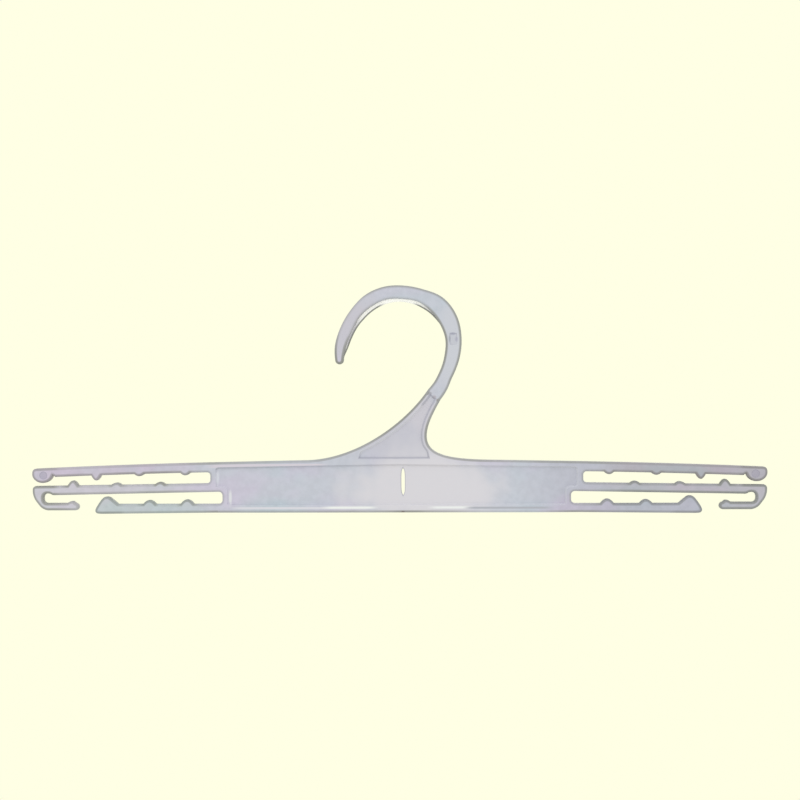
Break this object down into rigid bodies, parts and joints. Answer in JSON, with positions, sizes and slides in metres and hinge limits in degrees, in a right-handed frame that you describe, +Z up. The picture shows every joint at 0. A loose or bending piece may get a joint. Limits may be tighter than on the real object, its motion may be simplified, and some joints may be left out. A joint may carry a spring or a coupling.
{
  "type": "delicates hanger",
  "caption": "Flat milky plastic hanger: a wide open rail hook on a flared gusset, a thin centre plate, and springy toothed arms that end in bulbs, strap hooks and knobs.",
  "frame": {"origin": "rail seat: the crown of the hook's inner edge, over the middle of the arms, at mid thickness", "axes": "+X along the arms to the viewer's right, +Z up as it hangs, +Y through the thickness away from the viewer"},
  "size_m": [0.3044, 0.0036, 0.0943],
  "materials": {
    "frosted_plastic": "milky, semi-translucent moulded polypropylene, bluish grey, satin gloss with brighter rims"
  },
  "bodies": {
    "root": {"rail_hook": "frosted_plastic", "hook_gusset": "frosted_plastic", "centre_plate": "frosted_plastic"},
    "upper_arm_left": {"upper_arm_left": "frosted_plastic"},
    "upper_arm_right": {"upper_arm_right": "frosted_plastic"},
    "middle_arm_left": {"middle_arm_left": "frosted_plastic", "strap_hook_left": "frosted_plastic"},
    "middle_arm_right": {"middle_arm_right": "frosted_plastic", "strap_hook_right": "frosted_plastic"},
    "lower_arm_left": {"lower_arm_left": "frosted_plastic"},
    "lower_arm_right": {"lower_arm_right": "frosted_plastic"}
  },
  "joints": [
    {"name": "upper_flex_left", "type": "hinge", "parent": "root", "child": "upper_arm_left", "pos_m": [-0.0792, 0, -0.06829], "axis": [0, 1, 0], "range_deg": [-0.4, 8], "stiffness_Nm_per_rad": 0.84},
    {"name": "upper_flex_right", "type": "hinge", "parent": "root", "child": "upper_arm_right", "pos_m": [0.0792, 0, -0.06829], "axis": [0, -1, 0], "range_deg": [-0.4, 8], "stiffness_Nm_per_rad": 0.84},
    {"name": "middle_flex_left", "type": "hinge", "parent": "root", "child": "middle_arm_left", "pos_m": [-0.0792, 0, -0.07671], "axis": [0, 1, 0], "range_deg": [-0.6, 0.45], "stiffness_Nm_per_rad": 0.65},
    {"name": "middle_flex_right", "type": "hinge", "parent": "root", "child": "middle_arm_right", "pos_m": [0.0792, 0, -0.07671], "axis": [0, -1, 0], "range_deg": [-0.6, 0.45], "stiffness_Nm_per_rad": 0.65},
    {"name": "lower_flex_left", "type": "hinge", "parent": "root", "child": "lower_arm_left", "pos_m": [-0.074, 0, -0.08526], "axis": [0, -1, 0], "range_deg": [-0.4, 8], "stiffness_Nm_per_rad": 1},
    {"name": "lower_flex_right", "type": "hinge", "parent": "root", "child": "lower_arm_right", "pos_m": [0.074, 0, -0.08526], "axis": [0, 1, 0], "range_deg": [-0.4, 8], "stiffness_Nm_per_rad": 1}
  ]
}
